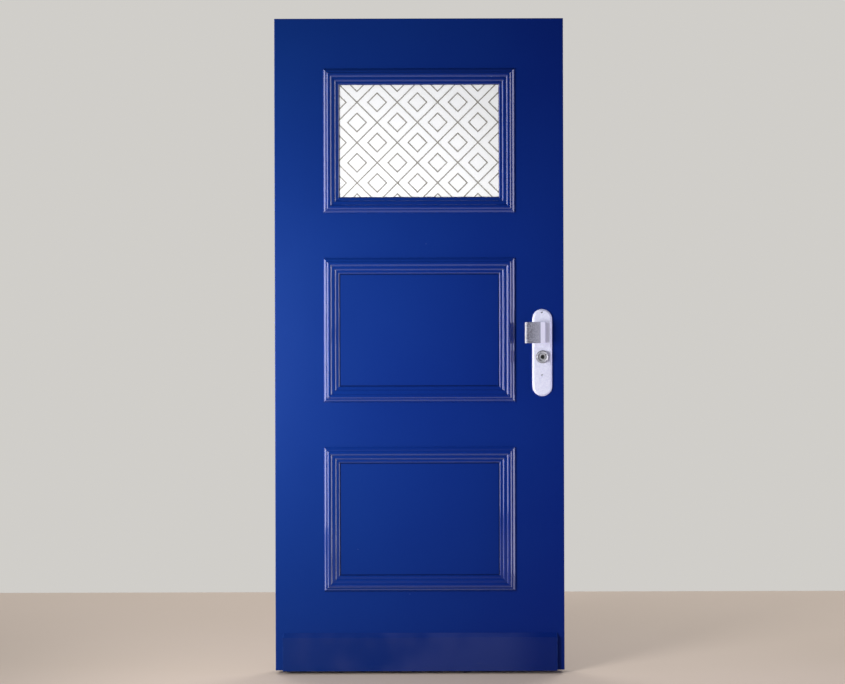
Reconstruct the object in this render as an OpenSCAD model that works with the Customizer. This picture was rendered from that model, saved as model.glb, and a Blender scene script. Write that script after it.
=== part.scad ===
// Steel security door leaf with three moulded panels, a glazed top panel and a multi-bolt lock.
// Millimetres, Z up. X runs to the lock edge, -Y is the outside face.
// The origin is the middle of the leaf's bottom edge.

/* [Leaf] */
// Width of the leaf
leaf_w = 900; // [880:1:1000]
// Height of the leaf
leaf_h = 2030; // [2000:1:2150]
// Thickness over both skins
leaf_t = 50; // [48:1:60]
// Sheet thickness of the skins
skin_t = 1.5; // [1:0.1:2]
// Radius of the folded front edges
fold_r = 2.5; // [1:0.1:4]
// Depth of the edge channels inside the leaf
channel_w = 40; // [30:1:50]
// Wall of the edge channels
channel_t = 3; // [2.5:0.1:4]
// Half width of a stiffening rib over its flanges
rib_half = 28; // [22:1:30]
// Wall of a stiffening rib
rib_t = 1.5; // [1:0.1:2.5]

/* [Mouldings] */
// Face left between the leaf's side edges and a moulding frame
panel_margin = 152; // [145:1:180]
// Height of the lowest frame above the bottom edge
panel_low = 246.5; // [200:0.5:280]
// Face left between two moulding frames
panel_gap = 139.5; // [110:0.5:170]
// Face left above the highest frame
panel_top = 157.5; // [120:0.5:200]
// Width of the moulding
mould_w = 50; // [44:1:56]
// Height of the moulding above the face
mould_h = 15.3; // [12:0.1:20]

/* [Window] */
// Width of the moulding's lip over the glazing rebate
rebate = 12; // [10:0.5:14]
// Thickness of the laminated pane
glass_t = 10; // [8:0.5:14]
// Room round the pane inside its lining
glass_room = 4; // [3:0.5:5]
// Thickness of a glazing gasket
gasket_t = 2; // [1.5:0.1:3]
// Width of a glazing gasket
gasket_w = 6; // [5:0.5:7]
// Wall of the lining round the opening
lining_t = 3; // [2:0.5:4]
// Wall of the inside glazing beads
bead_t = 3; // [2:0.5:4]
// Cover of the glazing beads on the inside face
bead_cover = 30; // [24:1:36]
// Diagonal of one lattice cell
cell = 125.5; // [100:0.5:150]
// Diagonal of the small diamond in each cell
diamond = 58; // [40:0.5:70]
// Shift of the lattice to the lock side
lattice_dx = -4.5; // [-20:0.1:20]
// Shift of the lattice upwards
lattice_dz = -4.6; // [-20:0.1:20]
// Width of the lattice strips
strip_w = 3.4; // [2:0.1:5]
// Thickness of the lattice strips
strip_t = 0.6; // [0.4:0.1:1]

/* [Skirt] */
// Face left at each end of the skirt
skirt_margin = 23.5; // [15:0.5:60]
// Height of the skirt
skirt_h = 117; // [90:1:140]
// Depth of the skirt in front of the face
skirt_d = 12; // [10:0.5:18]
// Overhang of the skirt below the leaf
skirt_drop = 0.5; // [0.5:0.5:6]
// Sheet thickness of the skirt
skirt_t = 1.5; // [1:0.1:2]

/* [Lock] */
// Distance from the lock edge to the cylinder axis
backset = 68; // [65:1:75]
// Height of the cylinder axis
cyl_z = 975; // [950:1:1050]
// Height of the handles above the cylinder axis
handle_rise = 75; // [72:1:90]
// Radius of a side bolt
bolt_r = 8; // [7:0.1:9]
// Distance between the side bolts
bolt_pitch = 24; // [22:0.5:26]
// Depth of the lock case below the cylinder axis
case_below = 105; // [95:1:120]
// Height of the lock case above the handle axis
case_above = 70; // [62:1:85]
// Wall of the lock case
case_wall = 2; // [1.5:0.1:2.5]
// Thickness of the forend plate
forend_t = 3; // [2.5:0.1:4]
// Width of the forend plate
forend_w = 24; // [22:0.5:26]
// Height of the upper rod's cam pin above the cylinder axis
cam_high = 31; // [30:0.5:34]
// Height of the lower rod's cam pin above the cylinder axis
cam_low = 17; // [15:0.5:18]
// Radius of the round rod ends
rod_r = 6.5; // [5:0.1:7]
// Tooth module of the drive pinion
gear_m = 0.8; // [0.7:0.05:0.9]
// Turn of the inside knob in degrees
knob_turn = 40; // [30:1:45]

/* [Door furniture] */
// Width of the lock plates
plate_w = 62; // [56:1:70]
// Height of the lock plates
plate_h = 271; // [250:1:290]
// Thickness of the lock plates
plate_t = 9; // [7:0.5:12]
// Height of the fixed pull
pull_h = 65; // [50:1:80]
// Radius of the cylinder guard at its foot
guard_r = 20; // [18:0.5:24]
// Height of the cylinder guard
guard_h = 12; // [10:0.5:15]
// Radius of the inside knob
knob_r = 25; // [20:0.5:28]
// Distance from the plate to the knob's face
knob_out = 52; // [44:1:60]
// Radius of the knob's neck
neck_r = 10; // [9:0.5:11]

/* [Hinges] */
// Height of a hinge
hinge_h = 120; // [100:1:150]
// Thickness of the hinge plates
hinge_t = 3; // [2.5:0.1:4]
// Gap between the two plates of a closed hinge
hinge_gap = 1; // [0.6:0.1:2]
// Gap between the leaf's edge and the frame
hinge_reveal = 1.5; // [1:0.1:2]
// Width of the plates let into the edge
hinge_w = 34; // [30:1:40]
// Outer radius of the knuckles
knuckle_r = 7; // [6:0.1:9]
// Radius of the hinge pin
pin_r = 4; // [3:0.1:5]
// Distance of the end hinges from the leaf's ends
hinge_end = 260; // [200:1:320]
// Distance between a hinge's screws along the edge
screw_dz = 80; // [60:1:90]
// Distance between a hinge's screws across the edge
screw_dy = 18; // [14:0.5:20]
// Radius of the screw holes in the hinge plates
screw_hole_r = 2.7; // [2.2:0.1:3]

/* [Hidden] */
$fn = 48;
fit = 0.2;
run_gap = 0.06;
free_gap = 0.3;
far = leaf_t * 4;
xr = leaf_w / 2;
yf = -leaf_t / 2;
yb = leaf_t / 2;
yfi = yf + skin_t;
ybi = yb - skin_t;
cav_x = xr - skin_t;
cav_z = leaf_h - skin_t;
bay_x = cav_x - channel_w;
panel_w = leaf_w - 2 * panel_margin;
panel_h = floor((leaf_h - panel_low - panel_top - 2 * panel_gap) / 3);
panel_pitch = panel_h + panel_gap;
sight_w = panel_w - 2 * mould_w;
sight_h = panel_h - 2 * mould_w;
open_w = sight_w + 2 * rebate;
open_h = sight_h + 2 * rebate;
glass_w = open_w - 2 * glass_room;
glass_h = open_h - 2 * glass_room;
glass_y = yf + gasket_t;
seat_y = glass_y + glass_t;
bead_y = seat_y + gasket_t;
bead_face = yb + bead_t;
bead_in = glass_room + gasket_w;
bead_w = bead_cover + bead_in;
win_z = panel_low + 2 * panel_pitch + panel_h / 2;
rib_x = open_w / 2 + lining_t + rib_half + 5;
lock_x = xr - backset;
handle_z = cyl_z + handle_rise;
plate_z = cyl_z + 13;
plate_y = yf - plate_t;
in_plate_y = yb + plate_t;
through_z = [plate_z + plate_h / 2 - 10.5, plate_z - 70];
through_r = 2.5;
pinion_n = 8;
pinion_r = gear_m * pinion_n / 2;
throw = 2 * PI * pinion_r;
gap_half = 5;
lay_out = gap_half - 0.5;
lay_in = 0.7;
bay_half = bolt_r + free_gap;
case_y = bay_half + case_wall;
case_x1 = xr - forend_t;
rod_x = lock_x - 20;
rod_y = (lay_in + lay_out) / 2;
rod_w = 8;
case_x0 = rod_x - throw - 12;
case_z0 = cyl_z - case_below;
case_z1 = handle_z + case_above;
forend_z0 = case_z0 - 15;
forend_z1 = case_z1 + 15;
bolt_z = [for (i = [0 : 2]) cyl_z + 3 + i * bolt_pitch];
bolt_x = lock_x + 18;
cam_pin_r = 3;
cam_z = [cyl_z + cam_high, cyl_z + cam_low];
finger_r = 14;
finger_tip = 3;
latch_throw = finger_r * sin(knob_turn);
latch_gap = 0.6;
latch_h = 22;
latch_half = 6.5;
hub_r = 9.5;
hub_boss = 8;
spindle = 8;
spindle_in = plate_t + 25;
plug_r = 6;
leg_half = 5;
leg_z = -19.5;
body_end = 27;
hinge_z = [hinge_end, leaf_h / 2, leaf_h - hinge_end];
frame_x0 = -xr - hinge_reveal;
frame_x1 = frame_x0 + hinge_t;
plate_x0 = frame_x1 + hinge_gap;
plate_x1 = plate_x0 + hinge_t;
axis_x = plate_x0 + knuckle_r;
axis_y = yb + knuckle_r + 0.5;
hinge_y0 = yb - hinge_w;
screw_y = hinge_y0 + 17;
csk_d = 1.6;
pad_t = 7.5;
pad_over = 15;
third = hinge_h / 6;
washer_t = 1;
bead_screw_l = 10;

paint = [0.07, 0.19, 0.5];
zinc = [0.72, 0.74, 0.75];
satin = [0.78, 0.78, 0.77];

// Box between two corners
module span(a, b) {
    translate(a) cube(b - a);
}

// Flat shape drawn in X and Z, thick from y0 to y1
module along_y(y0, y1) {
    translate([0, y1, 0]) rotate([90, 0, 0]) linear_extrude(y1 - y0) children();
}

// Flat shape drawn in Y and Z, long from x0 to x1
module along_x(x0, x1) {
    translate([x0, 0, 0]) rotate([90, 0, 90]) linear_extrude(x1 - x0) children();
}

// Round bar along Y
module bar_y(x, z, y0, y1, r) {
    translate([x, y1, z]) rotate([90, 0, 0]) cylinder(r = r, h = y1 - y0);
}

// Round bar along X
module bar_x(x0, x1, y, z, r) {
    translate([x0, y, z]) rotate([0, 90, 0]) cylinder(r = r, h = x1 - x0);
}

// Turned shape round an axis along -Y, starting at y
module turned_out(x, y, z) {
    translate([x, y, z]) rotate([90, 0, 0]) rotate_extrude() children();
}

// Turned shape round an axis along +Y, starting at y
module turned_in(x, y, z) {
    translate([x, y, z]) rotate([-90, 0, 0]) rotate_extrude() children();
}

// Arc that rounds the corner b between a and c
function unit(v) = v / norm(v);
function corner(a, b, c, r, n) =
    let (u = unit(a - b), v = unit(c - b), h = acos(u * v) / 2)
    let (m = b + unit(u + v) * r / sin(h))
    let (s = b + u * r / tan(h) - m, e = b + v * r / tan(h) - m)
    let (a0 = atan2(s[1], s[0]), d = atan2(e[1], e[0]) - a0)
    let (sweep = d > 180 ? d - 360 : d < -180 ? d + 360 : d)
    [for (i = [0 : n]) m + r * [cos(a0 + sweep * i / n), sin(a0 + sweep * i / n)]];
function eased(p, r, n = 4) =
    let (k = len(p))
    [for (i = [0 : k - 1])
        each r[i] == 0 ? [p[i]] : corner(p[(i + k - 1) % k], p[i], p[(i + 1) % k], r[i], n)];

// Section of a face w wide and d deep with rounded front corners
module face_section(w, d, r) {
    translate([-w / 2 + r, 0]) square([w - 2 * r, d]);
    translate([-w / 2, r]) square([w, d - r]);
    for (s = [-1, 1])
        translate([s * (w / 2 - r), r]) circle(r);
}

// Slab of the leaf's outline, rounded on its y = 0 side
module leaf_slab(d, r) {
    intersection() {
        linear_extrude(leaf_h) face_section(leaf_w, d, r);
        translate([0, 0, leaf_h / 2])
            along_x(-xr, xr) mirror([1, 0]) rotate(90) face_section(leaf_h, d, r);
    }
}

// Length with mitred ends along X, outer edge at z = 0, section given in Y and Z
module mitred(l, w) {
    intersection() {
        along_x(-l / 2, l / 2) children();
        along_y(-far, far) polygon([[-l / 2, 0], [l / 2, 0], [l / 2 - w, w], [-l / 2 + w, w]]);
    }
}

// Rectangular ring in X and Z round a centre height
module ring(w, h, iw, ih) {
    difference() {
        square([w, h], center = true);
        square([iw, ih], center = true);
    }
}

// Outline of the cylinder round its axis
module cylinder_outline(g = 0) {
    translate([lock_x, cyl_z]) {
        circle(8.5 + g);
        translate([-leg_half - g, leg_z]) square([2 * (leg_half + g), -leg_z]);
        translate([0, leg_z]) circle(leg_half + g);
    }
}

// Holes of the through screws
module through_holes(y0, y1, r) {
    for (z = through_z)
        bar_y(lock_x, z, y0, y1, r);
}

// Recesses for the hinge plates in the leaf's edge
module hinge_recess() {
    for (z = hinge_z)
        span([-xr - 1, hinge_y0 - free_gap, z - hinge_h / 2 - free_gap],
            [plate_x1, yb + 1, z + hinge_h / 2 + free_gap]);
}

// Places of the four screws of every hinge
module at_hinge_screws() {
    for (z = hinge_z, i = [-1, 1], j = [-1, 1])
        translate([0, screw_y + i * screw_dy / 2, z + j * screw_dz / 2]) children();
}

// Countersunk hole along X, wide end at x = 0, going to +X
module csk_hole(l) {
    rotate([0, 90, 0]) cylinder(r1 = screw_hole_r + csk_d, r2 = screw_hole_r, h = csk_d);
    rotate([0, 90, 0]) cylinder(r = screw_hole_r, h = l);
}

// Seat of the forend in the lock edge
module forend_seat(g) {
    span([case_x1 - g, -forend_w / 2 - g, forend_z0 - g], [xr + 1, forend_w / 2 + g, forend_z1 + g]);
}

module outer_skin() {
    color(paint) difference() {
        translate([0, yf, 0]) leaf_slab(leaf_t - skin_t, fold_r);
        span([-cav_x, yfi, skin_t], [cav_x, yb + 1, cav_z]);
        translate([0, 0, win_z]) along_y(yf - 1, yfi + 1) square([open_w, open_h], center = true);
        along_y(yf - 1, yfi + 1) cylinder_outline(1);
        through_holes(yf - 1, yfi + 1, through_r + 1);
        forend_seat(fit);
        hinge_recess();
        translate([rod_x, rod_y, -1]) cylinder(r = rod_r + fit, h = leaf_h + 2);
    }
}

module inner_skin() {
    color(paint) difference() {
        translate([0, yb, 0]) mirror([0, 1, 0]) leaf_slab(skin_t, skin_t * 0.5);
        translate([0, 0, win_z]) along_y(ybi - 1, yb + 1) square([open_w, open_h], center = true);
        along_y(ybi - 1, yb + 1) cylinder_outline(1);
        through_holes(ybi - 1, yb + 1, through_r + 1);
        bar_y(lock_x, handle_z, ybi - 1, yb + 1, hub_r + 2);
        hinge_recess();
        for (p = bead_screw_at)
            bar_y(p[0], win_z + p[1], ybi - 1, yb + 1, 1.5);
    }
}

// Edge channel of the lock side
module channel() {
    difference() {
        span([bay_x, yfi, skin_t], [cav_x, ybi, cav_z]);
        span([bay_x - 1, yfi + channel_t, 0], [cav_x - channel_t, ybi - channel_t, leaf_h]);
    }
}

// Edge channel of the hinge side, with a thick pad behind every hinge
module hinge_stile() {
    color(zinc) difference() {
        union() {
            mirror([1, 0, 0]) channel();
            for (z = hinge_z)
                span([-cav_x, yfi, z - hinge_h / 2 - pad_over],
                    [plate_x1 + pad_t, ybi, z + hinge_h / 2 + pad_over]);
        }
        hinge_recess();
        at_hinge_screws() translate([-xr, 0, 0]) rotate([0, 90, 0]) cylinder(r = screw_hole_r - fit, h = 20);
    }
}

module lock_stile() {
    color(zinc) difference() {
        channel();
        forend_seat(0);
        span([bay_x, -case_y - fit, case_z0 - fit], [xr, case_y + fit, case_z1 + fit]);
        for (z = [forend_z0 + 7, forend_z1 - 7])
            bar_x(bay_x, xr, 0, z, 2);
    }
}

// Cross channel with its web at z = 0, open to -Z
module cross_channel() {
    difference() {
        span([-bay_x, yfi, -channel_w], [bay_x, ybi, 0]);
        span([-xr, yfi + channel_t, -channel_w - 1], [xr, ybi - channel_t, -channel_t]);
        translate([rod_x, rod_y, -channel_w]) cylinder(r = rod_r + fit, h = 2 * channel_w);
    }
}

module top_rail() {
    color(zinc) translate([0, 0, cav_z]) cross_channel();
}

module bottom_rail() {
    color(zinc) translate([0, 0, skin_t]) mirror([0, 0, 1]) cross_channel();
}

module rib_section() {
    foot = rib_half * 0.5;
    crown = rib_half * 0.36;
    difference() {
        polygon([[-foot, yfi], [-crown, ybi], [crown, ybi], [foot, yfi]]);
        polygon([[-foot + rib_t, yfi - 1], [-crown + rib_t, ybi - rib_t],
            [crown - rib_t, ybi - rib_t], [foot - rib_t, yfi - 1]]);
    }
    for (s = [0, 1])
        mirror([s, 0]) translate([foot - rib_t, yfi]) square([rib_half - foot + rib_t, rib_t]);
}

module stiffener_ribs() {
    color(zinc)
        for (s = [-1, 1])
            translate([s * rib_x, 0, skin_t + channel_w])
                linear_extrude(leaf_h - 2 * (skin_t + channel_w)) rib_section();
}

module core_fill() {
    z0 = skin_t + channel_w;
    z1 = leaf_h - z0;
    low = win_z - open_h / 2 - lining_t;
    high = win_z + open_h / 2 + lining_t;
    color([0.85, 0.8, 0.62]) difference() {
        union() {
            span([-bay_x, yfi, z0], [-rib_x - rib_half, ybi, z1]);
            span([-rib_x + rib_half, yfi, z0], [rib_x - rib_half, ybi, low]);
            span([-rib_x + rib_half, yfi, high], [rib_x - rib_half, ybi, z1]);
        }
        for (p = bead_screw_at)
            bar_y(p[0], win_z + p[1], ybi - bead_screw_l, yb, 1.5);
    }
}

module window_lining() {
    color(zinc) translate([0, 0, win_z])
        along_y(yfi, ybi) ring(open_w + 2 * lining_t, open_h + 2 * lining_t, open_w, open_h);
}

module glass_pane() {
    color([0.93, 0.94, 0.93]) translate([0, 0, win_z])
        along_y(glass_y, seat_y) square([glass_w, glass_h], center = true);
}

// Strips at 45 degrees with a small diamond in the middle of every cell
module lattice_lines() {
    reach = sight_w + sight_h;
    n = 2 * ceil(reach / cell / 2) + 1;
    for (a = [45, -45], k = [-n : 2 : n])
        rotate(a) translate([k * cell / 2 / sqrt(2) - strip_w / 2, -reach]) square([strip_w, 2 * reach]);
    side = diamond / sqrt(2);
    for (i = [-n : n], j = [-n : n])
        if ((i + j) % 2 == 0 && abs(i) * cell < sight_w + diamond && abs(j) * cell < sight_h + diamond)
            translate([i, j] * cell / 2) rotate(45)
                ring(side + strip_w, side + strip_w, side - strip_w, side - strip_w);
}

module glass_lattice() {
    color([0.5, 0.48, 0.46]) translate([0, 0, win_z])
        along_y(glass_y - strip_t, glass_y) intersection() {
            square([sight_w + 2, sight_h + 2], center = true);
            translate([lattice_dx, lattice_dz]) lattice_lines();
        }
}

module glazing_gaskets() {
    color([0.08, 0.08, 0.08]) translate([0, 0, win_z])
        for (y = [yf, seat_y])
            along_y(y, y + gasket_t)
                ring(glass_w, glass_h, glass_w - 2 * gasket_w, glass_h - 2 * gasket_w);
}

// Inside glazing bead: cover flange, reveal wall and foot on the gasket
module bead_section() {
    foot = bead_cover + fit;
    p = [[yb, 0], [bead_face, 0], [bead_face, bead_w], [bead_y, bead_w], [bead_y, foot],
        [bead_y + bead_t, foot], [bead_y + bead_t, bead_w - bead_t], [yb, bead_w - bead_t]];
    polygon(eased(p, [0, 1.5, 2, 0.5, 0.5, 0.5, 0.5, 0.5]));
}

module bead(l) {
    color(paint) difference() {
        mitred(l, bead_w) bead_section();
        for (s = [-1, 1])
            translate([s * l / 4, 0, bead_cover / 2]) {
                bar_y(0, 0, yb - 1, bead_face + 1, 2);
                translate([0, bead_face - csk_d, 0]) rotate([-90, 0, 0]) cylinder(r1 = 2, r2 = 4, h = csk_d + 0.001);
            }
    }
}

bead_lw = open_w + 2 * bead_cover;
bead_lh = open_h + 2 * bead_cover;
bead_screw_at = [for (s = [-1, 1], t = [-1, 1])
    each [[s * bead_lw / 4, t * (bead_lh - bead_cover) / 2], [t * (bead_lw - bead_cover) / 2, s * bead_lh / 4]]];

module bead_bottom() {
    translate([0, 0, win_z - bead_lh / 2]) bead(bead_lw);
}

module bead_top() {
    translate([0, 0, win_z + bead_lh / 2]) mirror([0, 0, 1]) bead(bead_lw);
}

module bead_left() {
    translate([-bead_lw / 2, 0, win_z]) rotate([0, 90, 0]) bead(bead_lh);
}

module bead_right() {
    mirror([1, 0, 0]) bead_left();
}

module bead_screws() {
    color(zinc)
        for (p = bead_screw_at)
            translate([p[0], bead_face - csk_d, win_z + p[1]]) rotate([-90, 0, 0]) difference() {
                union() {
                    cylinder(r1 = 2, r2 = 4, h = csk_d);
                    translate([0, 0, -bead_screw_l]) cylinder(r = 1.5, h = bead_screw_l + 0.1);
                }
                translate([0, 0, csk_d]) cube([4.4, 0.8, 1.4], center = true);
                translate([0, 0, csk_d]) cube([0.8, 4.4, 1.4], center = true);
            }
}

// Stepped moulding, given as distance in from its outer edge and height above the face
module mould_section() {
    a = mould_w / 50;
    b = mould_h / 15.3;
    p = [[0, 0], [0, 3.2], [8.2, 10.6], [10.6, 10.3], [15.8, 15], [20.6, 15.3], [26.4, 10.1], [34.2, 9.8],
        [39.6, 4.95], [45.6, 4.75], [49.4, 1.4], [50, 1.3], [50, 0]];
    r = [0, 0.6, 0.7, 0.6, 0.7, 0.7, 0.6, 0.7, 0.6, 0.7, 0, 0, 0];
    polygon(eased([for (q = p) [yf - q[1] * b, q[0] * a]], r));
}

module mould_flat(l) {
    color(paint) mitred(l, mould_w) mould_section();
}

function frame_z(i) = panel_low + i * panel_pitch;

module mould_low(i) {
    translate([0, 0, frame_z(i)]) mould_flat(panel_w);
}

module mould_high(i) {
    translate([0, 0, frame_z(i) + panel_h]) mirror([0, 0, 1]) mould_flat(panel_w);
}

module mould_side(i) {
    translate([-panel_w / 2, 0, frame_z(i) + panel_h / 2]) rotate([0, 90, 0]) mould_flat(panel_h);
}

module skirt_section() {
    y1 = yf - skirt_d;
    z1 = skirt_h - skirt_drop;
    t = skirt_t;
    p = [[yf, z1], [y1, z1 - skirt_d], [y1, -skirt_drop], [yf - t, -skirt_drop], [yf - t, -skirt_drop + t],
        [y1 + t, -skirt_drop + t], [y1 + t, z1 - skirt_d - t * 0.41], [yf, z1 - t * 1.41]];
    polygon(eased(p, [0, 2, 1.6, 0, 0, 0, 0, 0]));
}

module skirt_plate() {
    w = xr - skirt_margin;
    z1 = skirt_h - skirt_drop;
    end = eased([[yf, z1], [yf - skirt_d, z1 - skirt_d], [yf - skirt_d, -skirt_drop], [yf, -skirt_drop]],
        [0, 2, 1.6, 0]);
    color(paint) {
        along_x(-w, w) skirt_section();
        for (x = [-w, w - skirt_t])
            along_x(x, x + skirt_t) polygon(end);
    }
}

// Half section of a lock plate: straight foot, sloped rim, flat top
module plate_half() {
    w = plate_w / 2;
    p = [[0, 0], [w, 0], [w, plate_t * 0.3], [w - 5, plate_t], [0, plate_t]];
    polygon(eased(p, [0, 0, 1.5, 3, 0], 5));
}

// Plate with round ends, thick from z = 0
module plate_blank() {
    l = plate_h - plate_w;
    for (s = [0, 1])
        mirror([0, s]) translate([0, l / 2, 0]) rotate_extrude(angle = 180) plate_half();
    translate([0, l / 2, 0]) rotate([90, 0, 0]) linear_extrude(l) {
        plate_half();
        mirror([1, 0]) plate_half();
    }
}

module outer_plate() {
    color(satin) difference() {
        translate([lock_x, yf, plate_z]) rotate([90, 0, 0]) plate_blank();
        along_y(-body_end - free_gap, yf + 1) cylinder_outline(free_gap);
        bar_y(lock_x, cyl_z, plate_y - 1, yf, plug_r + free_gap);
        for (z = through_z) {
            bar_y(lock_x, z, plate_y - 1, yf + 1, through_r);
            turned_out(lock_x, plate_y + 1.5, z) polygon([[0, 0], [through_r, 0], [through_r + 2, 2], [0, 2]]);
        }
    }
}

// Through screws from the inside plate to the outside plate
module plate_screws() {
    color(zinc)
        for (z = through_z)
            difference() {
                union() {
                    bar_y(lock_x, z, plate_y + 1.5, in_plate_y - 1.6, through_r);
                    turned_in(lock_x, in_plate_y - 3.6, z) polygon([[0, 0], [through_r, 0], [through_r + 2, 2], [through_r + 2, 3.4], [0, 3.4]]);
                }
                translate([lock_x, in_plate_y, z]) rotate([90, 0, 0]) cylinder(r = 1.8, h = 2.2, $fn = 6);
                translate([lock_x, plate_y + 3, z]) rotate([90, 0, 0]) cylinder(r = 1.5, h = 3, $fn = 6);
            }
}

// Fixed pull: foot on the plate, sloped web, wing and turned-back lip
module pull_handle() {
    p = [[25, 0], [25, 5.5], [8, 6.5], [-8.5, 39.5], [-50.5, 42], [-57, 36.5], [-54.5, 32.5],
        [-48.5, 37], [-11.5, 34.5], [1, 4], [1, 0]];
    r = [0, 1.5, 4, 5, 3, 1.5, 1.5, 2, 3, 0, 0];
    color(satin) intersection() {
        translate([lock_x, plate_y, handle_z - pull_h / 2])
            linear_extrude(pull_h) mirror([0, 1]) polygon(eased(p, r));
        translate([lock_x, 0, handle_z]) along_y(-far, 0) polygon(eased(
            [[-57.5, -pull_h / 2], [26, -pull_h / 2], [26, pull_h / 2], [-57.5, pull_h / 2]], [4, 2, 2, 4]));
    }
}

// Cone-shaped guard with a dished mouth round the cylinder
module cylinder_guard() {
    mouth = guard_r - 4.5;
    p = [[plug_r + free_gap, 0], [guard_r, 0], [guard_r, 1.5], [guard_r - 2.5, guard_h], [mouth, guard_h],
        [mouth - 4.3, guard_h * 0.46], [plug_r + free_gap, guard_h * 0.46]];
    color(satin) turned_out(lock_x, plate_y, cyl_z) polygon(eased(p, [0, 0, 0.8, 1.2, 1, 0.8, 0]));
}

module cylinder_body() {
    color([0.8, 0.74, 0.55]) difference() {
        along_y(-body_end, body_end) cylinder_outline();
        bar_y(lock_x, cyl_z, -body_end - 1, body_end + 1, plug_r + run_gap);
        span([lock_x - 20, -gap_half, cyl_z - 10], [lock_x + 20, gap_half, cyl_z + 20]);
        bar_x(lock_x - 20, lock_x + 20, 0, cyl_z - 17, 2.5);
    }
}

// Plug with a keyed face in the guard's mouth
module outer_plug() {
    dish = plate_y - guard_h * 0.46;
    color(satin) difference() {
        union() {
            bar_y(lock_x, cyl_z, dish - free_gap - 1, -gap_half, plug_r);
            bar_y(lock_x, cyl_z, dish - free_gap - 3.2, dish - free_gap, 10);
        }
        span([lock_x - 1.6, dish - 10, cyl_z - 5.5], [lock_x + 1.6, -20, cyl_z + 5.5]);
        bar_y(lock_x, cyl_z, dish - 10, -20, 2.4);
        bar_y(lock_x, cyl_z, -gap_half - 3, 0, 2);
    }
}

// Inside plug with its turning knob
module thumb_turn() {
    y0 = in_plate_y + free_gap;
    color(satin) difference() {
        union() {
            bar_y(lock_x, cyl_z, gap_half, y0 + 1, plug_r);
            turned_in(lock_x, y0, cyl_z) polygon(eased([[0, 0], [13, 0], [13, 4], [0, 4]], [0, 0, 1.2, 0]));
            translate([lock_x, 0, cyl_z]) along_y(y0 + 3.9, y0 + 22)
                polygon(eased([[-4, -15], [4, -15], [4, 15], [-4, 15]], [3.5, 3.5, 3.5, 3.5]));
        }
        bar_y(lock_x, cyl_z, gap_half - 1, gap_half + 3, 2);
    }
}

// Involute tooth angle at radius r in degrees
function inv(a) = tan(a) * 180 / PI - a;
function half_tooth(r) =
    90 / pinion_n - 1 + inv(30) - inv(acos(min(1, pinion_r * cos(30) / r)));
function tooth_side(s) =
    let (base = pinion_r * cos(30), tip = pinion_r + 0.8 * gear_m)
    [for (i = [0 : 4]) let (r = base + (tip - base) * (s > 0 ? i : 4 - i) / 4) [r, -s * half_tooth(r)]];

module pinion_section() {
    root = pinion_r - 1.1 * gear_m;
    pts = [for (k = [0 : pinion_n - 1]) each [for (q = concat([[root, -half_tooth(1)]], tooth_side(1),
        tooth_side(-1), [[root, half_tooth(1)]])) q[0] * [cos(q[1] + k * 360 / pinion_n), sin(q[1] + k * 360 / pinion_n)]]];
    rotate(180 / pinion_n) polygon(pts);
}

// Pinion between the two plugs, keyed into both
module drive_pinion() {
    color(zinc) {
        translate([lock_x, 0, cyl_z]) along_y(-gap_half + 0.3, gap_half - 0.3) pinion_section();
        bar_y(lock_x, cyl_z, -gap_half - 3, gap_half + 3, 2);
    }
}

module lock_case() {
    color(zinc) difference() {
        union() {
            difference() {
                span([case_x0, -case_y, case_z0], [case_x1, bay_half, case_z1]);
                span([case_x0 + case_wall, -bay_half, case_z0 + case_wall],
                    [case_x1 - case_wall, bay_half + 1, case_z1 - case_wall]);
            }
            span([lock_x + hub_r + 2, -case_y, handle_z - 7], [lock_x + hub_r + 5, bay_half, handle_z + 7]);
        }
        along_y(-case_y - 1, 0) cylinder_outline(fit);
        bar_y(lock_x, handle_z, -case_y - 1, 0, hub_boss + run_gap);
        through_holes(-case_y - 1, 0, through_r + 0.5);
        lock_face_holes();
        span([rod_x - rod_w / 2 - fit, lay_in - fit, case_z0 - 1], [rod_x + rod_w / 2 + fit, lay_out + fit, case_z0 + 5]);
        span([rod_x - rod_w / 2 - fit, lay_in - fit, case_z1 - 5], [rod_x + rod_w / 2 + fit, lay_out + fit, case_z1 + 1]);
    }
}

// Openings for the bolts, the latch and the cylinder screw in the lock's front
module lock_face_holes() {
    for (z = bolt_z)
        bar_x(case_x1 - 2 * case_wall, xr + 1, 0, z, bolt_r + run_gap);
    span([case_x1 - 2 * case_wall, -latch_half - fit, handle_z - latch_h / 2 - fit],
        [xr + 1, latch_half + fit, handle_z + latch_h / 2 + fit]);
    bar_x(case_x1 - 2 * case_wall, xr + 1, 0, cyl_z - 17, 2.7);
}

module lock_cover() {
    color(zinc) difference() {
        span([case_x0, bay_half, case_z0], [case_x1, case_y, case_z1]);
        along_y(0, case_y + 1) cylinder_outline(fit);
        bar_y(lock_x, handle_z, 0, case_y + 1, hub_boss + run_gap);
        through_holes(0, case_y + 1, through_r + 0.5);
    }
}

module forend() {
    color(satin) difference() {
        span([case_x1, -forend_w / 2, forend_z0], [xr, forend_w / 2, forend_z1]);
        lock_face_holes();
        for (z = [forend_z0 + 7, forend_z1 - 7, cyl_z - 17])
            translate([xr, 0, z]) mirror([1, 0, 0]) csk_hole(10);
    }
}

// Countersunk screw along -X, head at x = 0
module csk_screw(l, r) {
    mirror([1, 0, 0]) difference() {
        union() {
            rotate([0, 90, 0]) cylinder(r1 = screw_hole_r + csk_d, r2 = screw_hole_r, h = csk_d);
            rotate([0, 90, 0]) cylinder(r = r, h = l);
        }
        cube([1.6, 5, 0.9], center = true);
        cube([1.6, 0.9, 5], center = true);
    }
}

module forend_screws() {
    color(zinc)
        for (z = [forend_z0 + 7, forend_z1 - 7])
            translate([xr, 0, z]) csk_screw(16, 2);
}

module cylinder_screw() {
    color(zinc) translate([xr, 0, cyl_z - 17]) csk_screw(backset + leg_half, 2.5);
}

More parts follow.
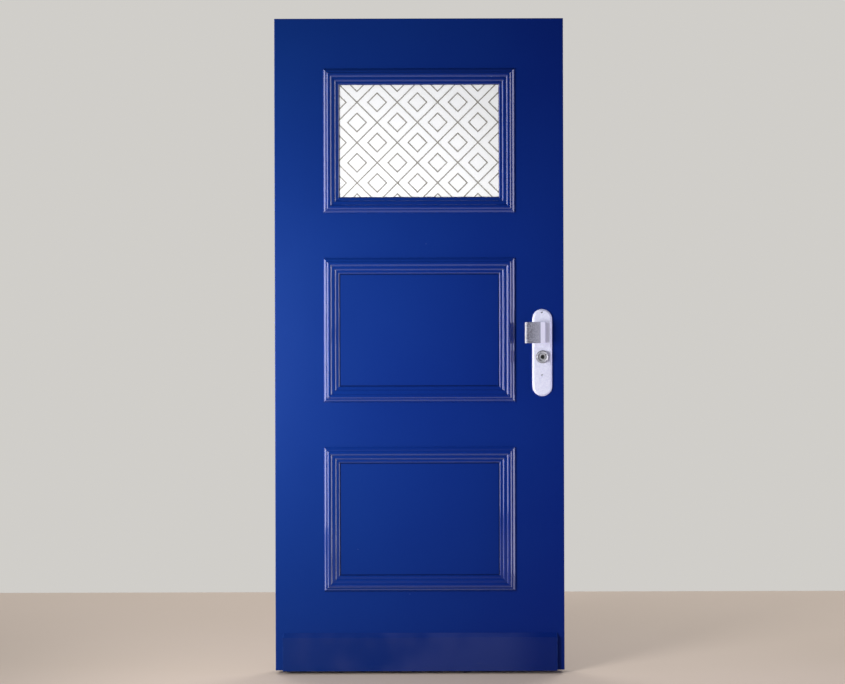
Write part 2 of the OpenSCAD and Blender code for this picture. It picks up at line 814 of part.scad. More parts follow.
// Rack teeth pointing down from the arm's root line
module rack_teeth() {
    pitch = PI * gear_m;
    half = pitch / 4 - 0.04;
    up = 0.9 * gear_m;
    down = 0.8 * gear_m;
    for (k = [-9 : 1])
        translate([k * pitch, pinion_r])
            polygon([[-half - up * tan(30), up + 0.1], [-half + down * tan(30), -down],
                [half - down * tan(30), -down], [half + up * tan(30), up + 0.1]]);
}

// Diagonal cam slot from the pin's rest place, to the left and up (s = 1) or down (s = -1)
module cam_slot(z, s) {
    l = throw * sqrt(2);
    r = cam_pin_r + fit;
    translate([rod_x, z]) rotate(s > 0 ? 135 : 225) {
        circle(r);
        translate([0, -r]) square([l, 2 * r]);
        translate([l, 0]) circle(r);
    }
}

// Sliding plate with rack, two cam slots and a tongue for each bolt
module bolt_carriage() {
    x0 = rod_x - throw - 8;
    root = cyl_z + pinion_r + 0.9 * gear_m;
    low = cam_z[1] - throw - 8;
    high = cam_z[0] + throw + 8;
    clear_x = lock_x - leg_half - 2 - throw;
    color([0.6, 0.62, 0.63]) along_y(-lay_out, -lay_in) difference() {
        union() {
            polygon([[x0, low], [clear_x, low], [clear_x, root], [lock_x + 10, root],
                [lock_x + 10, bolt_z[0] - bolt_r], [bolt_x + 10, bolt_z[0] - bolt_r],
                [bolt_x + 10, bolt_z[2] + bolt_r], [lock_x + 10, bolt_z[2] + bolt_r],
                [lock_x + 10, cam_z[0] + 4], [rod_x + 8, cam_z[0] + 4], [rod_x + 8, high], [x0, high]]);
            translate([lock_x, cyl_z]) rack_teeth();
        }
        cam_slot(cam_z[0], 1);
        cam_slot(cam_z[1], -1);
    }
}

// Round bolts with chamfered noses, slotted over the carriage's tongues
module side_bolts() {
    color(satin)
        for (z = bolt_z)
            difference() {
                union() {
                    bar_x(bolt_x, xr - 1, 0, z, bolt_r);
                    translate([xr - 1, 0, z]) rotate([0, 90, 0]) cylinder(r1 = bolt_r, r2 = bolt_r - 1, h = 1);
                }
                span([bolt_x - 1, -lay_out, z - 20], [bolt_x + 10, -lay_in, z + 20]);
            }
}

// Flat rod with its cam pin and a round end, going up from the pin
module rod(z_pin, z_end) {
    span([rod_x - rod_w / 2, lay_in, z_pin - 5], [rod_x + rod_w / 2, lay_out, z_end - 40]);
    bar_y(rod_x, z_pin, -lay_out - 0.5, lay_in + 1, cam_pin_r);
    translate([rod_x, rod_y, z_end - 45]) cylinder(r = rod_r, h = 44);
    translate([rod_x, rod_y, z_end - 1]) cylinder(r1 = rod_r, r2 = rod_r - 1, h = 1);
}

module top_rod() {
    color(satin) rod(cam_z[0], leaf_h);
}

module bottom_rod() {
    color(satin) mirror([0, 0, 1]) rod(-cam_z[1], 0);
}

module rod_guides() {
    h = 22;
    color([0.15, 0.15, 0.16])
        for (z = [cav_z - channel_t - h, skin_t + channel_t])
            difference() {
                span([rod_x - 15, rod_y - 14, z], [rod_x + 15, rod_y + 14, z + h]);
                translate([rod_x, rod_y, z - 1]) cylinder(r = rod_r + run_gap, h = h + 2);
            }
}

// Follower turned by the spindle, with the finger that draws the latch
module hub() {
    color(zinc) difference() {
        union() {
            bar_y(lock_x, handle_z, -bay_half + free_gap, bay_half - free_gap, hub_r);
            bar_y(lock_x, handle_z, -case_y, case_y, hub_boss);
            translate([lock_x, 0, handle_z]) along_y(-lay_out, -lay_in) rotate(knob_turn) {
                translate([-finger_tip, 0]) square([2 * finger_tip, finger_r]);
                translate([0, finger_r]) circle(finger_tip);
            }
        }
        translate([lock_x, 0, handle_z]) cube([spindle, 60, spindle], center = true);
    }
}

// Sprung latch, drawn back at rest: sloped nose, tail over the hub, hook behind the finger
module latch_bolt() {
    x0 = lock_x + 29;
    h = latch_h / 2;
    hook = lock_x - latch_throw - finger_tip - latch_gap;
    tail = handle_z + finger_r + finger_tip + 1;
    color(satin) {
        translate([0, 0, handle_z - h]) linear_extrude(latch_h)
            polygon([[x0, -latch_half], [xr - latch_throw + 0.5, -latch_half], [xr, latch_half - 2.5],
                [xr, latch_half], [x0, latch_half]]);
        along_y(-lay_out, -lay_in) polygon([[x0, handle_z], [x0 + 8, handle_z], [x0 + 8, tail + 8],
            [hook - 6, tail + 8], [hook - 6, handle_z + hub_r], [hook, handle_z + hub_r], [hook, tail], [x0, tail]]);
    }
}

// Coil along X between the case's post and the latch
module latch_spring() {
    x0 = lock_x + hub_r + 5;
    x1 = lock_x + 29;
    turns = 6;
    n = 14 * turns;
    s = 6;
    wire = 0.6;
    mean = 4;
    ring_pt = function (i, j)
        let (a = i * 360 / 14, b = j * 360 / s, r = mean + wire * cos(b))
        [x0 + wire + (x1 - x0 - 2 * wire) * i / n + wire * sin(b), r * cos(a), handle_z + r * sin(a)];
    pts = [for (i = [0 : n], j = [0 : s - 1]) ring_pt(i, j)];
    sides = [for (i = [0 : n - 1], j = [0 : s - 1]) let (k = (j + 1) % s)
        [i * s + j, i * s + k, (i + 1) * s + k, (i + 1) * s + j]];
    ends = [[for (j = [s - 1 : -1 : 0]) j], [for (j = [0 : s - 1]) n * s + j]];
    color(zinc) polyhedron(points = pts, faces = concat(sides, ends), convexity = 10);
}

module inner_plate() {
    color(satin) difference() {
        translate([lock_x, yb, plate_z]) mirror([0, 1, 0]) rotate([90, 0, 0]) plate_blank();
        along_y(yb - 1, body_end + free_gap) cylinder_outline(free_gap);
        bar_y(lock_x, cyl_z, yb, in_plate_y + 1, plug_r + free_gap);
        bar_y(lock_x, handle_z, yb - 1, in_plate_y + 1, neck_r + run_gap);
        for (z = through_z) {
            bar_y(lock_x, z, yb - 1, in_plate_y + 1, through_r);
            turned_in(lock_x, in_plate_y - 3.6, z)
                polygon([[0, 0], [through_r, 0], [through_r + 2, 2], [through_r + 2, 5], [0, 5]]);
        }
    }
}

// Round inside knob on the square spindle
module inside_knob() {
    y0 = yb + 1;
    k = knob_out;
    p = [[0, 0], [neck_r + 4, 0], [neck_r + 4, 4], [neck_r, 8], [neck_r, k * 0.42], [knob_r * 0.8, k * 0.6],
        [knob_r, k * 0.72], [knob_r, k * 0.86], [knob_r * 0.76, k], [0, k]];
    color(satin) difference() {
        union() {
            bar_y(lock_x, handle_z, y0, in_plate_y + 1, neck_r);
            turned_in(lock_x, in_plate_y + free_gap, handle_z)
                polygon(eased(p, [0, 0, 1.5, 2, 5, 4, 4, 4, 4, 0]));
        }
        translate([lock_x, y0, handle_z]) cube([spindle, 2 * spindle_in, spindle], center = true);
    }
}

module spindle_bar() {
    color(zinc) span([lock_x - spindle / 2, -bay_half, handle_z - spindle / 2],
        [lock_x + spindle / 2, yb + 1 + spindle_in, handle_z + spindle / 2]);
}

// Plates let into the leaf's edge, each with one knuckle between the frame's two
module hinge_leaf_plates() {
    color(zinc) difference() {
        for (z = hinge_z) {
            span([plate_x0, hinge_y0, z - hinge_h / 2], [plate_x1, yb, z + hinge_h / 2]);
            span([plate_x0, yb - 1, z - third + fit], [plate_x1, axis_y, z + third - fit]);
            translate([axis_x, axis_y, z - third + fit]) cylinder(r = knuckle_r, h = 2 * (third - fit));
        }
        translate([axis_x, axis_y, 0]) cylinder(r = pin_r + run_gap, h = leaf_h);
        at_hinge_screws() translate([plate_x0, 0, 0]) csk_hole(10);
    }
}

// Plates for the frame side, with the outer two knuckles
module hinge_frame_plates() {
    top = axis_y + knuckle_r;
    color(zinc) difference() {
        for (z = hinge_z) {
            span([frame_x0, hinge_y0, z - hinge_h / 2], [frame_x1, top, z + hinge_h / 2]);
            for (k = [[z - hinge_h / 2, z - third - washer_t], [z + third + fit, z + hinge_h / 2]]) {
                span([frame_x0, top - hinge_t, k[0]], [axis_x, top, k[1]]);
                translate([axis_x, axis_y, k[0]]) cylinder(r = knuckle_r, h = k[1] - k[0]);
            }
        }
        translate([axis_x, axis_y, 0]) cylinder(r = pin_r, h = leaf_h);
        at_hinge_screws() translate([frame_x1, 0, 0]) mirror([1, 0, 0]) csk_hole(10);
    }
}

module hinge_pins() {
    color(satin)
        for (z = hinge_z)
            translate([axis_x, axis_y, z - hinge_h / 2]) rotate_extrude()
                polygon(eased([[0, 0], [pin_r, 0], [pin_r, hinge_h], [knuckle_r, hinge_h], [knuckle_r, hinge_h + 3.5],
                    [0, hinge_h + 3.5]], [0, 0.8, 0, 0, 1.8, 0]));
}

module hinge_washers() {
    color([0.72, 0.55, 0.25])
        for (z = hinge_z)
            translate([axis_x, axis_y, z - third - washer_t]) difference() {
                cylinder(r = knuckle_r - 0.4, h = washer_t);
                translate([0, 0, -1]) cylinder(r = pin_r, h = washer_t + 2);
            }
}

module hinge_screws() {
    color(zinc) at_hinge_screws() translate([plate_x0, 0, 0]) mirror([1, 0, 0]) csk_screw(14, screw_hole_r - fit);
}

outer_skin();
inner_skin();
hinge_stile();
lock_stile();
top_rail();
bottom_rail();
stiffener_ribs();
core_fill();
window_lining();
glass_pane();
glass_lattice();
glazing_gaskets();
bead_top();
bead_bottom();
bead_left();
bead_right();
bead_screws();
mould_high(2);  // window_moulding_top
mould_low(2);  // window_moulding_bottom
mould_side(2);  // window_moulding_left
mirror([1, 0, 0]) mould_side(2);  // window_moulding_right
mould_high(1);  // middle_moulding_top
mould_low(1);  // middle_moulding_bottom
mould_side(1);  // middle_moulding_left
mirror([1, 0, 0]) mould_side(1);  // middle_moulding_right
mould_high(0);  // lower_moulding_top
mould_low(0);  // lower_moulding_bottom
mould_side(0);  // lower_moulding_left
mirror([1, 0, 0]) mould_side(0);  // lower_moulding_right
skirt_plate();
outer_plate();
pull_handle();
cylinder_guard();
plate_screws();
cylinder_body();
outer_plug();
thumb_turn();
drive_pinion();
lock_case();
lock_cover();
forend();
forend_screws();
cylinder_screw();
bolt_carriage();
side_bolts();
top_rod();
bottom_rod();
rod_guides();
hub();
latch_bolt();
latch_spring();
inner_plate();
inside_knob();
spindle_bar();
hinge_leaf_plates();
hinge_frame_plates();
hinge_pins();
hinge_washers();
hinge_screws();
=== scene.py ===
import math
import bpy
from mathutils import Matrix, Vector

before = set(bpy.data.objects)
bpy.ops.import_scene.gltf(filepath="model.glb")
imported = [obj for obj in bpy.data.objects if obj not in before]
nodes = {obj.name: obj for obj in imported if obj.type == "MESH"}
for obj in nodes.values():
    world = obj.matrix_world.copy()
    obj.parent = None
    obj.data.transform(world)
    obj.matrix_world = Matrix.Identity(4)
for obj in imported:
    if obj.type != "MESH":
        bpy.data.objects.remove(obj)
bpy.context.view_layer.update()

scene = bpy.context.scene
scene.view_settings.view_transform = "Standard"

# Places on the leaf that the finishes follow, in metres
LEAF_HALF_W = 0.45
LEAF_HALF_H = 1.015
LEAF_HALF_T = 0.025
ARRIS_W = 0.0018
SKIRT_HALF_W = 0.4258
LOCK_X = 0.382
CYLINDER_Z = 0.975
HANDLE_Z = 1.05
PANEL_HALF_W = 0.298
PANEL_HALF_H = 0.2245
PANEL_PITCH = 0.5885
LOW_PANEL_Z = 0.471
MOULDING_W = 0.05
# Slopes of the moulding, each from and to a distance in from its outer edge
MOULDING_SLOPES = (
    (0.0, 0.0082),
    (0.0106, 0.0158),
    (0.0206, 0.0264),
    (0.0342, 0.0396),
    (0.0456, 0.0494),
)
# Height of the rounding on a slope, as a share of half its width
SLOPE_SWELL = 0.095
# Zones of the pull, from the lock's middle line
LIP_END = -0.0530
WEB_START = -0.0082
FOOT_START = 0.0085
# Studio floor
FLOOR_Z = -0.011
FLOOR_MID_Y = -1.025
FLOOR_SIZE = (7.0, 4.95, 1.0)


class Wire:
    """A shader socket that can be used in sums."""

    def __init__(self, tree, socket=None):
        self.tree = tree
        self.socket = socket

    def add(self, kind, settings=(), feeds=(), out=0):
        """Adds a node: its settings first, then the values or links of its sockets."""
        node = self.tree.nodes.new("ShaderNode" + kind)
        for name, value in dict(settings).items():
            setattr(node, name, value)
        for name, value in dict(feeds).items():
            if isinstance(value, Wire):
                self.tree.links.new(value.socket, node.inputs[name])
            else:
                node.inputs[name].default_value = value
        return Wire(self.tree, node.outputs[out] if node.outputs else None)

    def sum(self, kind, a, b=0.0, clamp=False):
        return self.add("Math", {"operation": kind, "use_clamp": clamp}, {0: a, 1: b})

    def __add__(self, other):
        return self.sum("ADD", self, other)

    def __sub__(self, other):
        return self.sum("SUBTRACT", self, other)

    def __rsub__(self, other):
        return self.sum("SUBTRACT", other, self)

    def __mul__(self, other):
        return self.sum("MULTIPLY", self, other)

    def __truediv__(self, other):
        return self.sum("DIVIDE", self, other)

    def __pow__(self, other):
        return self.sum("POWER", self, other)

    def __abs__(self):
        return self.sum("ABSOLUTE", self)

    def __lt__(self, other):
        return self.sum("LESS_THAN", self, other)

    def __gt__(self, other):
        return self.sum("GREATER_THAN", self, other)

    __radd__ = __add__

    def step(self, low, high):
        """Soft step from 0 at low to 1 at high."""
        settings = {"interpolation_type": "SMOOTHSTEP"}
        feeds = {"Value": self, "From Min": low, "From Max": high}
        return self.add("MapRange", settings, feeds)


def here(w):
    """Place on the object in metres."""
    return w.add("TexCoord", out="Object")


def axes(w, place):
    """The three parts of a place."""
    return [w.add("SeparateXYZ", (), {"Vector": place}, out=i) for i in range(3)]


def noise(w, place, scale, detail=2.0, rough=0.5, stretch=None):
    """Cloudy value from 0 to 1, if wanted with its own scale on each axis."""
    if stretch:
        place = w.add("Mapping", (), {"Vector": place, "Scale": stretch})
    feeds = {"Vector": place, "Scale": scale, "Detail": detail, "Roughness": rough}
    return w.add("TexNoise", (), feeds)


def blend(w, share, a, b):
    """Colour between a and b."""
    return w.add("Mix", {"data_type": "RGBA"}, {0: share, 6: a, 7: b}, out=2)


def relief(w, height, depth, strength=1.0, below=None):
    """Bump with a depth in metres, if wanted on top of another bump."""
    feeds = {"Height": height, "Distance": depth, "Strength": strength}
    if below:
        feeds["Normal"] = below
    return w.add("Bump", (), feeds)


def finish(name, recipe, *values):
    """Makes a material from the shader feeds that a recipe returns."""
    material = bpy.data.materials.new(name)
    material.use_nodes = True
    material.node_tree.nodes.clear()
    w = Wire(material.node_tree)
    surface = w.add("BsdfPrincipled", (), recipe(w, *values))
    w.add("OutputMaterial", (), {"Surface": surface})
    return material


def rgb(r, g, b):
    return (r, g, b, 1.0)


# Paint

BLUE_DEEP = rgb(0.0021, 0.0112, 0.138)
BLUE_LIGHT = rgb(0.0044, 0.0310, 0.187)
# Pale blue for wear at the leaf's arrises and for the painted highlight at the skirt's ends.
BLUE_WEAR_AND_HIGHLIGHT = rgb(0.020, 0.060, 0.260)
# Near-black blue for the painted shade at the moulding feet and for the dark mitre joints.
BLUE_SHADE_AND_JOINT = rgb(0.001, 0.005, 0.040)


def lacquer(w, place, dust):
    """Sprayed blue lacquer: slow drift of tone, darkened from left to right as painted shade, fine orange
    peel, a few dust specks.
    """
    drift = noise(w, place, 1.7, 3.0)
    fine = noise(w, place, 240.0, 2.0)
    # Painted shade: besides its random drift, the tone darkens from left to right across the door.
    tone = drift * 0.5 + fine * 0.2 - axes(w, place)[0] * 0.7 + 0.15
    colour = blend(w, tone, BLUE_DEEP, BLUE_LIGHT)
    cells = w.add("TexVoronoi", (), {"Vector": place, "Scale": 22.0})
    specks = (cells < 0.035) * (noise(w, place, 9.0, 1.0) > 0.6)
    return blend(w, specks * dust, colour, rgb(0.15, 0.21, 0.42)), drift, fine


def panel_edge(w, x, z):
    """Distance outside the nearest moulding frame, and the height from that frame's middle."""
    start = LOW_PANEL_Z - PANEL_PITCH / 2
    around = w.sum("FLOORED_MODULO", z - start, PANEL_PITCH) - PANEL_PITCH / 2
    return w.sum("MAXIMUM", abs(x) - PANEL_HALF_W, abs(around) - PANEL_HALF_H), around


def leaf_lacquer(w):
    """Satin lacquer, worn at the arrises, with a painted shade on the face along the foot of each
    moulding.
    """
    place = here(w)
    x, y, z = axes(w, place)
    colour, drift, fine = lacquer(w, place, 0.35)
    beside = abs(x) - (LEAF_HALF_W - ARRIS_W)
    beyond = abs(z - LEAF_HALF_H) - (LEAF_HALF_H - ARRIS_W)
    rim = w.sum("MAXIMUM", beside, beyond).step(0.0, ARRIS_W)
    near_face = abs(y).step(LEAF_HALF_T - 0.0025, LEAF_HALF_T - 0.0005)
    worn = rim * near_face * noise(w, place, 60.0, 3.0).step(0.35, 0.75)
    outside, _ = panel_edge(w, x, z)
    # Painted shade: a dark band on the face just inside each frame, along the moulding's foot.
    foot = (1 - abs(outside + MOULDING_W + 0.0012).step(0.0004, 0.0022)) * (y < 0.0)
    colour = blend(w, worn * 0.5, colour, BLUE_WEAR_AND_HIGHLIGHT)
    peel = relief(w, fine, 0.00012, 0.5)
    dents = relief(w, noise(w, place, 4.0, 1.0), 0.0012, 0.35, peel)
    return {"Base Color": blend(w, foot * 0.75, colour, BLUE_SHADE_AND_JOINT), "Roughness": drift * 0.08 + 0.3,
            "Specular IOR Level": 0.07, "Normal": dents}


def moulding_lacquer(w):
    """Glossy lacquer on slopes that swell a little, dark in the mitre joints, with a painted shade along
    the foot.
    """
    place = here(w)
    x, y, z = axes(w, place)
    colour, _, fine = lacquer(w, place, 0.3)
    outside, around = panel_edge(w, x, z)
    mitre = 1 - abs(abs(x) - abs(around) - (PANEL_HALF_W - PANEL_HALF_H)).step(0.0001, 0.0006)
    # Painted shade: the innermost strip of the moulding, by the panel, is darkened.
    foot = 1 - (outside + MOULDING_W).step(0.0004, 0.0016)
    dark = w.sum("MAXIMUM", mitre * 0.7, foot * 0.8)
    swell = 0.0
    for start, end in MOULDING_SLOPES:
        half = (end - start) / 2
        across = (outside + (start + end) / 2) / half
        swell = swell + w.sum("MAXIMUM", 1 - across * across, 0.0) * half
    peel = relief(w, fine, 0.00003, 0.12)
    return {"Base Color": blend(w, dark, colour, BLUE_SHADE_AND_JOINT), "Roughness": fine * 0.04 + 0.06,
            "Normal": relief(w, swell * (y < 0.0), SLOPE_SWELL, 1.0, peel)}


def skirt_lacquer(w):
    """Darker lacquer with a painted reflection of the floor in cloudy patches, scuffs near the floor and a
    painted highlight along each end.
    """
    place = here(w)
    x, _, z = axes(w, place)
    colour, _, _ = lacquer(w, place, 0.8)
    scuffs = noise(w, place, 30.0, 6.0, 0.7, (0.6, 1.0, 5.0)).step(0.6, 0.74)
    low = 1 - z.step(0.0, 0.06)
    colour = blend(w, 0.22, colour, rgb(0.001, 0.004, 0.03))
    # Painted reflection of the floor: paler cloudy patches across the middle, fading out near both ends.
    painted_floor_reflection = noise(w, place, 5.0, 2.0).step(0.36, 0.56) * (1 - abs(x + 0.03).step(0.27, 0.42))
    colour = blend(w, painted_floor_reflection * 0.8, colour, rgb(0.018, 0.032, 0.155))
    # Painted highlight: a pale line along each end of the skirt.
    painted_end_highlight = abs(x).step(SKIRT_HALF_W - 0.0012, SKIRT_HALF_W) * noise(w, place, 70.0, 2.0).step(0.3, 0.6)
    colour = blend(w, painted_end_highlight * 0.6, colour, BLUE_WEAR_AND_HIGHLIGHT)
    return {"Base Color": blend(w, scuffs * (low * 0.35 + 0.1), colour, rgb(0.06, 0.07, 0.13)),
            "Roughness": scuffs * 0.15 + 0.12, "Specular IOR Level": 0.12,
            "Normal": relief(w, noise(w, place, 4.0, 1.5), 0.012, 0.6)}


# Metal

def brushed(w, place, stretch, dark, pale, rough, metal=1.0):
    """Satin steel with a grain along one direction."""
    grain = noise(w, place, 1.0, 3.0, 0.6, stretch)
    cloud = noise(w, place, 38.0, 3.0)
    colour = blend(w, grain * 0.6 + cloud * 0.4, dark, pale)
    return {"Base Color": colour, "Metallic": metal, "Roughness": grain * 0.16 + rough,
            "Normal": relief(w, grain, 0.00006, 0.6)}


def plate_steel(w):
    """Pale lilac satin plate: a fine upright grain under small blotches."""
    place = here(w)
    dark, pale = rgb(0.50, 0.50, 0.67), rgb(0.84, 0.84, 0.98)
    feeds = brushed(w, place, (1500.0, 1500.0, 26.0), dark, pale, 0.42, 0.2)
    blotch = noise(w, place, 170.0, 3.0, 0.6).step(0.35, 0.7)
    feeds["Base Color"] = blend(w, blotch * 0.55, feeds["Base Color"], rgb(0.84, 0.84, 0.94))
    return feeds


def pull_steel(w):
    """Grained grey wing with painted light: a pale highlight on the lip, a white highlight on the web, the
    wing lightening towards the web, and the foot in the plate's tone to lift it from the web's shadow.
    """
    place = here(w)
    across = axes(w, place)[0] - LOCK_X
    dark, pale = rgb(0.13, 0.13, 0.16), rgb(0.36, 0.36, 0.42)
    feeds = brushed(w, place, (160.0, 1200.0, 1500.0), dark, pale, 0.45, 0.2)
    pits = noise(w, place, 260.0, 2.0, 0.7).step(0.42, 0.6)
    wing = blend(w, pits * 0.8, feeds["Base Color"], rgb(0.08, 0.08, 0.11))
    # Painted sheen: the wing gets lighter towards the web.
    wing = blend(w, across.step(-0.05, -0.005) * 0.55, wing, rgb(0.44, 0.44, 0.53))
    # Painted highlight: the lip is paler than the wing.
    lip_highlighted = blend(w, across < LIP_END, wing, rgb(0.36, 0.36, 0.36))
    # Painted highlight: the web is near white.
    web_highlighted = blend(w, across > WEB_START, lip_highlighted, rgb(0.97, 0.97, 1.0))
    # Painted light: the foot takes the plate's pale tone against the web's shadow.
    feeds["Base Color"] = blend(w, across > FOOT_START, web_highlighted, rgb(0.82, 0.82, 0.97))
    feeds["Metallic"] = (across < WEB_START) * 0.2
    return feeds


def edge_steel(w):
    """Bare steel of the edge plate, bolts and pins."""
    dark, pale = rgb(0.50, 0.50, 0.51), rgb(0.68, 0.68, 0.69)
    return brushed(w, here(w), (900.0, 900.0, 40.0), dark, pale, 0.28)


def turned_steel(w, x0, z0, painted_shade_from=0.05, painted_shade_inside=0.0):
    """Steel turned round an axis along Y, with painted shade outside one radius except on the right, and
    inside another.
    """
    place = here(w)
    x, y, z = axes(w, place)
    across = ((x - x0) ** 2.0 + (z - z0) ** 2.0) ** 0.5
    rings = noise(w, w.add("CombineXYZ", (), {"X": across * 1600.0, "Y": y * 1600.0}), 1.0, 2.0)
    cloud = noise(w, place, 60.0, 2.0)
    colour = blend(w, rings * 0.5 + cloud * 0.5, rgb(0.46, 0.46, 0.48), rgb(0.70, 0.70, 0.74))
    # Painted shade: outside the first radius, except on the right side, the steel goes near black.
    edge = across.step(painted_shade_from - 0.0008, painted_shade_from + 0.0008) * (1 - (x - x0).step(0.006, 0.014))
    colour = blend(w, edge * 0.85, colour, rgb(0.07, 0.07, 0.07))
    # Painted shade: inside the second radius, round the keyway, the face is near black.
    colour = blend(w, (across < painted_shade_inside) * 0.93, colour, rgb(0.012, 0.011, 0.010))
    return {"Base Color": colour, "Metallic": 0.45, "Roughness": rings * 0.14 + 0.24,
            "Normal": relief(w, rings, 0.00005, 0.6)}


def zinc(w):
    """Zinc coating with its crystals."""
    place = here(w)
    cells = w.add("TexVoronoi", (), {"Vector": place, "Scale": 140.0}, out=1)
    grey = w.add("RGBToBW", (), {"Color": cells})
    fine = noise(w, place, 500.0, 2.0)
    colour = blend(w, grey * 0.8 + fine * 0.2, rgb(0.42, 0.44, 0.46), rgb(0.62, 0.64, 0.66))
    return {"Base Color": colour, "Metallic": 1.0, "Roughness": grey * 0.18 + 0.3,
            "Normal": relief(w, fine, 0.00005, 0.5)}


def cast_metal(w, dark, pale):
    """Plain yellow or white metal with a light tarnish."""
    place = here(w)
    cloud = noise(w, place, 120.0, 4.0)
    return {"Base Color": blend(w, cloud, dark, pale), "Metallic": 1.0, "Roughness": cloud * 0.2 + 0.22,
            "Normal": relief(w, noise(w, place, 900.0, 2.0), 0.00004, 0.5)}


# Glass, rubber, plastic and board

def opal_glass(w):
    """Milky pane that is slightly rippled."""
    place = here(w)
    cloud = noise(w, place, 26.0, 3.0)
    ripple = noise(w, place, 160.0, 2.0)
    return {"Base Color": blend(w, cloud, rgb(0.90, 0.90, 0.89), rgb(0.94, 0.94, 0.93)),
            "Roughness": ripple * 0.1 + 0.3, "Specular IOR Level": 0.25,
            "Normal": relief(w, ripple, 0.00015, 0.4)}


def lattice_metal(w):
    """Grey strips on the pane."""
    place = here(w)
    cloud = noise(w, place, 90.0, 3.0)
    return {"Base Color": blend(w, cloud, rgb(0.27, 0.255, 0.22), rgb(0.38, 0.36, 0.315)), "Metallic": 0.2,
            "Roughness": cloud * 0.2 + 0.35, "Normal": relief(w, noise(w, place, 700.0), 0.00005, 0.5)}


def dark_polymer(w, dark, pale, scale):
    """Rubber or plastic with a fine grain."""
    place = here(w)
    grain = noise(w, place, scale, 3.0)
    return {"Base Color": blend(w, grain, dark, pale), "Roughness": grain * 0.2 + 0.5,
            "Normal": relief(w, grain, 0.0001, 0.6)}


def core_board(w):
    """Paper honeycomb seen from its open side."""
    place = here(w)
    edge = w.add("TexVoronoi", {"feature": "DISTANCE_TO_EDGE"}, {"Vector": place, "Scale": 70.0})
    wall = 1 - edge.step(0.02, 0.08)
    return {"Base Color": blend(w, wall, rgb(0.40, 0.31, 0.19), rgb(0.62, 0.52, 0.36)),
            "Roughness": wall * 0.1 + 0.8, "Normal": relief(w, wall, 0.001, 0.5)}


LEAF = finish("leaf_lacquer", leaf_lacquer)
MOULDING = finish("moulding_lacquer", moulding_lacquer)
SKIRT = finish("skirt_lacquer", skirt_lacquer)
PLATE = finish("plate_satin_steel", plate_steel)
PULL = finish("pull_satin_steel", pull_steel)
EDGE = finish("edge_satin_steel", edge_steel)
# The cylinder's guard and plug get painted shade outside 17.2 mm and inside 6.2 mm.
TURNED_LOCK = finish("turned_steel_cylinder", turned_steel, LOCK_X, CYLINDER_Z, 0.0172, 0.0062)
TURNED_KNOB = finish("turned_steel_knob", turned_steel, LOCK_X, HANDLE_Z)
ZINC = finish("zinc_coating", zinc)
NICKEL = finish("nickel_plated_brass", cast_metal, rgb(0.52, 0.50, 0.43), rgb(0.68, 0.66, 0.59))
BRONZE = finish("bearing_bronze", cast_metal, rgb(0.36, 0.22, 0.08), rgb(0.55, 0.37, 0.15))
GLASS = finish("opal_glass", opal_glass)
LATTICE = finish("lattice_strip_metal", lattice_metal)
RUBBER = finish("black_rubber", dark_polymer, rgb(0.012, 0.012, 0.012), rgb(0.03, 0.03, 0.03), 600.0)
NYLON = finish("black_nylon", dark_polymer, rgb(0.02, 0.02, 0.022), rgb(0.045, 0.045, 0.048), 300.0)
BOARD = finish("core_board", core_board)

FINISHES = {
    LEAF: ["outer_skin", "inner_skin", "hinge_leaf_plates", "hinge_frame_plates"],
    MOULDING: [n for n in nodes if "_moulding_" in n]
    + ["bead_top", "bead_bottom", "bead_left", "bead_right"],
    SKIRT: ["skirt_plate"],
    PLATE: ["outer_plate", "inner_plate"],
    PULL: ["pull_handle"],
    EDGE: ["forend", "side_bolts", "latch_bolt", "top_rod", "bottom_rod", "hinge_pins"],
    TURNED_LOCK: ["cylinder_guard", "outer_plug", "thumb_turn"],
    TURNED_KNOB: ["inside_knob"],
    ZINC: ["hinge_stile", "lock_stile", "top_rail", "bottom_rail", "stiffener_ribs", "window_lining",
           "bead_screws", "plate_screws", "drive_pinion", "lock_case", "lock_cover", "forend_screws",
           "cylinder_screw", "bolt_carriage", "hub", "latch_spring", "spindle_bar", "hinge_screws"],
    NICKEL: ["cylinder_body"],
    BRONZE: ["hinge_washers"],
    GLASS: ["glass_pane"],
    LATTICE: ["glass_lattice"],
    RUBBER: ["glazing_gaskets"],
    NYLON: ["rod_guides"],
    BOARD: ["core_fill"],
}
for material, names in FINISHES.items():
    for name in names:
        for slot in nodes[name].material_slots:
            slot.material = material


# Stage, light and camera

def floor_colour(w):
    """Plain pale floor with a faint cloud of tone."""
    place = here(w)
    cloud = noise(w, place, 1.5, 3.0)
    fine = noise(w, place, 220.0, 2.0)
    colour = blend(w, cloud * 0.7 + fine * 0.3, rgb(0.585, 0.475, 0.390), rgb(0.615, 0.505, 0.420))
    return {"Base Color": colour, "Roughness": 0.75, "Specular IOR Level": 0.2}


bpy.ops.object.select_all(action="DESELECT")
bpy.ops.mesh.primitive_plane_add(size=1.0)
floor = bpy.context.object
floor.name = "studio_floor"
floor.data.transform(Matrix.LocRotScale((0.0, FLOOR_MID_Y, FLOOR_Z), None, FLOOR_SIZE))
floor.data.materials.append(finish("pale_floor", floor_colour))

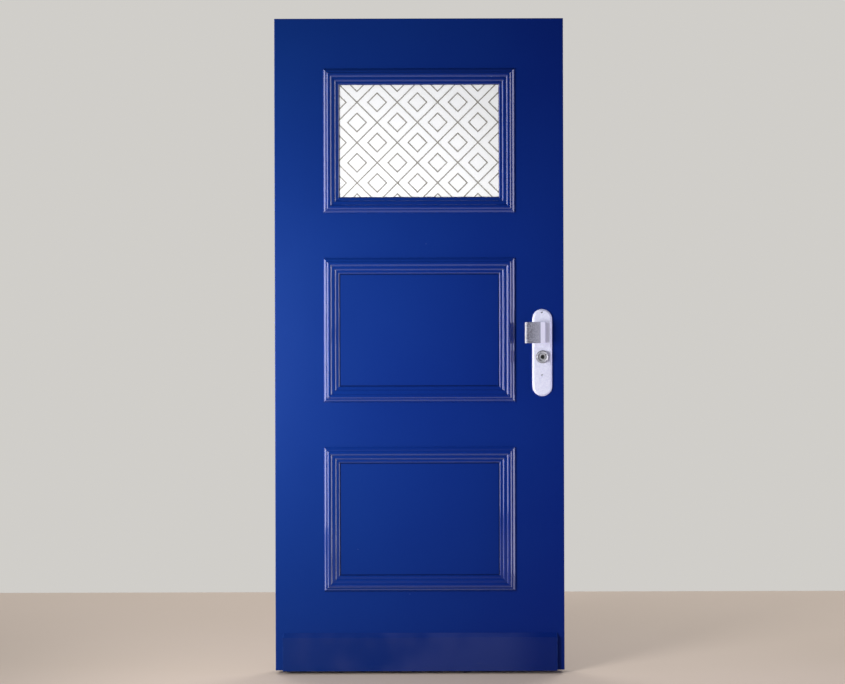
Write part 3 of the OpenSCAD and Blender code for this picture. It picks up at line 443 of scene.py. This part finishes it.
# The camera sees a pale backdrop, mirrored rays see it behind the leaf, and the rest is a soft fill
world = bpy.data.worlds.new("studio")
scene.world = world
world.use_nodes = True
world.node_tree.nodes.clear()
sky = Wire(world.node_tree)
PALE_BACKDROP = rgb(0.632, 0.617, 0.588)
ray = [sky.add("LightPath", out=i) for i in ("Is Camera Ray", "Is Glossy Ray", "Is Transmission Ray")]
way = axes(sky, sky.add("TexCoord", out="Generated"))
ahead = way[1].step(-0.1, 0.5)
seen = ray[0] + (ray[1] + ray[2]) * (ahead * 0.96 + 0.04)
above = way[2].step(0.5, 0.85)
fill = sky.add("Background", (), {"Color": rgb(0.9, 0.95, 1.0), "Strength": above * 0.6 + 0.1})
direct = sky.sum("ADD", ray[0], ray[1] + ray[2], True)
backdrop = sky.add("Background", (), {"Color": PALE_BACKDROP, "Strength": seen})
both = sky.add("MixShader", (), {0: direct, 1: fill, 2: backdrop})
sky.add("OutputWorld", (), {"Surface": both})

LEFT_TINT = (0.93, 0.89, 1.0)
RIGHT_TINT = (0.76, 0.75, 1.0)
NO_TINT = (1.0, 1.0, 1.0)


def softbox(name, place, aim, width, height, radiance, colour=NO_TINT, spread=180.0):
    """Flat lamp that the camera doesn't see; a smaller spread narrows and strengthens its beam."""
    lamp = bpy.data.lights.new(name, "AREA")
    lamp.shape = "RECTANGLE"
    lamp.size = width
    lamp.size_y = height
    lamp.energy = radiance * math.pi * width * height
    lamp.color = colour
    lamp.spread = math.radians(spread)
    box = bpy.data.objects.new(name, lamp)
    scene.collection.objects.link(box)
    box.location = place
    box.rotation_euler = (Vector(aim) - Vector(place)).to_track_quat("-Z", "Y").to_euler()
    box.visible_camera = False


softbox("left_strip", (-2.15, -0.28, 1.35), (0.0, -0.28, 1.35), 0.62, 2.3, 1.0, LEFT_TINT, 60.0)
softbox("right_strip", (2.15, -0.28, 1.2), (0.0, -0.28, 1.2), 0.62, 2.4, 1.2, RIGHT_TINT, 70.0)
softbox("low_left", (-2.75, -0.14, 0.0), (-2.75, -0.14, 1.0), 2.1, 0.36, 6.0, LEFT_TINT)
softbox("low_right", (1.5, -0.3, 0.0), (1.5, -0.3, 1.0), 1.2, 0.5, 3.0, RIGHT_TINT)
softbox("floor_strip", (0.0, -0.33, 0.0), (0.0, -0.33, 1.0), 1.1, 0.58, 0.12, (0.80, 0.84, 1.0), 60.0)
softbox("key", (-1.5, -1.65, 0.98), (0.02, 0.0, 1.0), 0.9, 0.9, 8.9, (0.97, 0.98, 1.0), 95.0)
softbox("back_key", (2.4, 3.0, 3.3), (0.0, 0.3, 0.8), 2.2, 2.2, 4.6)
softbox("back_fill", (-2.4, 3.0, 3.3), (0.0, 0.3, 0.8), 2.2, 2.2, 4.0)

lens = bpy.data.cameras.new("photo_view")
lens.lens = 61.57
lens.sensor_width = 36.0
camera = bpy.data.objects.new("photo_view", lens)
scene.collection.objects.link(camera)
camera.location = (0.0098, -4.525, 1.022)
camera.rotation_euler = (math.radians(90.0), math.radians(0.145), 0.0)
scene.camera = camera
